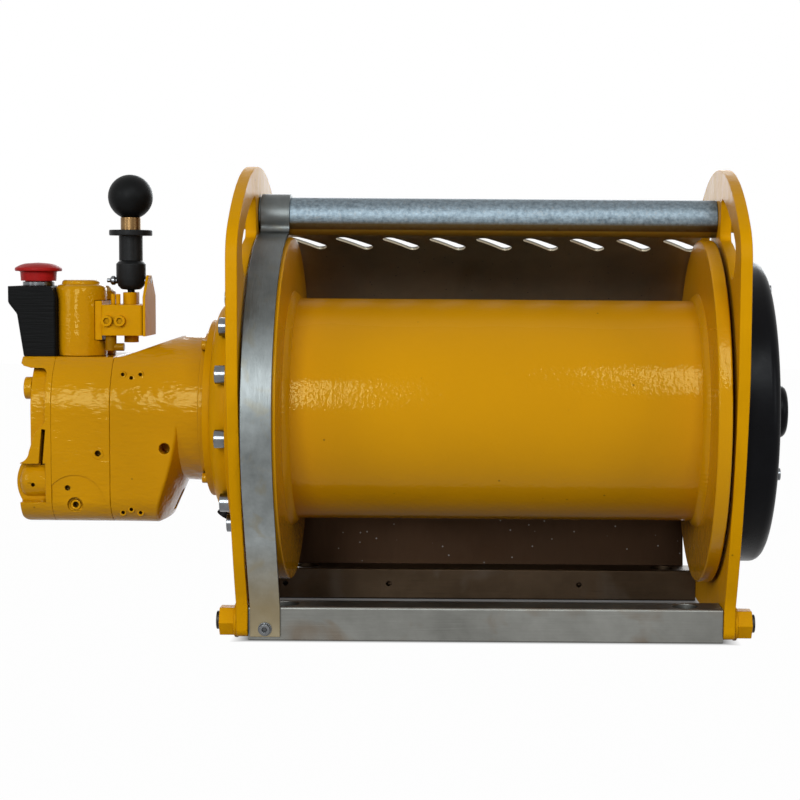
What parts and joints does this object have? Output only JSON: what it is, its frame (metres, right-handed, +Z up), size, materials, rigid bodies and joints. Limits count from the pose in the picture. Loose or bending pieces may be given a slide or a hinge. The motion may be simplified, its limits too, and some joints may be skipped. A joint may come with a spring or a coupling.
{
  "type": "air winch",
  "caption": "Air-powered drum winch: smooth rope drum between arched side plates, geared air motor with lever valve and stop button at one end, spring brake under a round cover.",
  "frame": {"origin": "centre of the four base bolt holes, on the plane that the base bars stand on", "axes": "+X along the drum axis towards the brake, +Y away from the rope side, +Z up"},
  "size_m": [0.6993, 0.3232, 0.413],
  "materials": {
    "orange_paint": "gloss",
    "galvanised": "satin",
    "stainless": "brushed",
    "sheet_steel": "satin",
    "bright_steel": "satin",
    "gear_steel": "satin",
    "dark_steel": "satin",
    "black_paint": "satin",
    "black_plastic": "matte",
    "knob_plastic": "gloss",
    "red_plastic": "satin",
    "brass": "satin",
    "rubber": "matte",
    "friction": "matte"
  },
  "bodies": {
    "frame": {"left_side_plate": "orange_paint", "right_side_plate": "orange_paint", "front_base_bar": "stainless", "rear_base_bar": "stainless", "frame_studs": "dark_steel", "frame_nuts": "orange_paint", "top_tie_tube": "galvanised", "tie_tube_bolts": "orange_paint", "rear_drum_guard": "sheet_steel", "flange_guard_strap": "galvanised", "sheet_screws": "bright_steel", "planet_carrier": "gear_steel", "planet_pins": "bright_steel", "carrier_screws": "dark_steel", "motor_mounting_flange": "orange_paint", "gear_oil_plug": "black_plastic", "flange_screws": "bright_steel", "motor_end_bearing": "bright_steel", "drum_seal": "rubber", "motor_gear_casing": "orange_paint", "motor_front_casing": "orange_paint", "motor_end_cover": "orange_paint", "motor_screws": "orange_paint", "motor_bearings": "bright_steel", "valve_body": "orange_paint", "lever_block": "orange_paint", "lever_block_screws": "orange_paint", "pilot_fitting": "dark_steel", "lever_side_plate": "orange_paint", "lever_pivot_pin": "bright_steel", "stop_housing": "black_plastic", "stop_bezel": "bright_steel", "brake_bearing_housing": "orange_paint", "brake_end_bearing": "bright_steel", "brake_lining": "friction", "brake_guide_pins": "bright_steel", "brake_springs": "bright_steel", "brake_cover": "black_paint", "brake_screws": "bright_steel", "brake_hub_cap": "black_paint"},
    "drum": {"drum_barrel": "orange_paint", "left_drum_flange": "orange_paint", "right_drum_flange": "orange_paint", "drum_shaft": "gear_steel", "ring_gear": "gear_steel", "brake_disc": "gear_steel"},
    "motor_rotor": {"motor_shaft": "gear_steel", "motor_drive_gear": "gear_steel", "sun_pinion": "gear_steel"},
    "motor_idler": {"motor_idler_gear": "gear_steel"},
    "planet_1": {"planet_gear_1": "gear_steel"},
    "planet_2": {"planet_gear_2": "gear_steel"},
    "planet_3": {"planet_gear_3": "gear_steel"},
    "control_lever": {"lever_hub": "black_plastic", "lever_tube": "brass", "lever_knob": "knob_plastic"},
    "lever_lock": {"lock_sleeve": "black_plastic"},
    "throttle": {"throttle_spool": "bright_steel"},
    "emergency_stop": {"stop_button": "red_plastic"},
    "brake": {"brake_piston": "gear_steel"}
  },
  "joints": [
    {"name": "drum_spin", "type": "hinge", "parent": "frame", "child": "drum", "pos_m": [0.0075, -0.019, 0.195], "axis": [1, 0, 0], "continuous": true},
    {"name": "rotor_spin", "type": "hinge", "parent": "frame", "child": "motor_rotor", "pos_m": [-0.25, -0.019, 0.195], "axis": [1, 0, 0], "continuous": true},
    {"name": "idler_spin", "type": "hinge", "parent": "frame", "child": "motor_idler", "pos_m": [-0.358, -0.019, 0.139], "axis": [1, 0, 0], "continuous": true},
    {"name": "planet_1_spin", "type": "hinge", "parent": "frame", "child": "planet_1", "pos_m": [-0.128, -0.019, 0.2445], "axis": [1, 0, 0], "continuous": true},
    {"name": "planet_2_spin", "type": "hinge", "parent": "frame", "child": "planet_2", "pos_m": [-0.128, -0.06187, 0.17025], "axis": [1, 0, 0], "continuous": true},
    {"name": "planet_3_spin", "type": "hinge", "parent": "frame", "child": "planet_3", "pos_m": [-0.128, 0.02387, 0.17025], "axis": [1, 0, 0], "continuous": true},
    {"name": "lever_swing", "type": "hinge", "parent": "frame", "child": "control_lever", "pos_m": [-0.3236, -0.019, 0.31], "axis": [1, 0, 0], "range_deg": [-15, 15], "stiffness_Nm_per_rad": 3},
    {"name": "throttle_slide", "type": "slide", "parent": "frame", "child": "throttle", "axis": [0, 1, 0], "range_m": [-0.0082, 0.0082]},
    {"name": "lock_lift", "type": "slide", "parent": "control_lever", "child": "lever_lock", "axis": [0, 0, 1], "range_m": [0, 0.01]},
    {"name": "stop_press", "type": "slide", "parent": "frame", "child": "emergency_stop", "axis": [0, 0, -1], "range_m": [0, 0.004], "stiffness_N_per_m": 1500},
    {"name": "brake_release", "type": "slide", "parent": "frame", "child": "brake", "axis": [1, 0, 0], "range_m": [0, 0.0012], "stiffness_N_per_m": 4000}
  ],
  "couplings": [
    {"joint": "rotor_spin", "follows": "drum_spin", "ratio": -4.5},
    {"joint": "idler_spin", "follows": "drum_spin", "ratio": 4.5},
    {"joint": "planet_1_spin", "follows": "drum_spin", "ratio": 2.5714},
    {"joint": "planet_2_spin", "follows": "drum_spin", "ratio": 2.5714},
    {"joint": "planet_3_spin", "follows": "drum_spin", "ratio": 2.5714},
    {"joint": "throttle_slide", "follows": "lever_swing", "m_per_rad": 0.031}
  ]
}
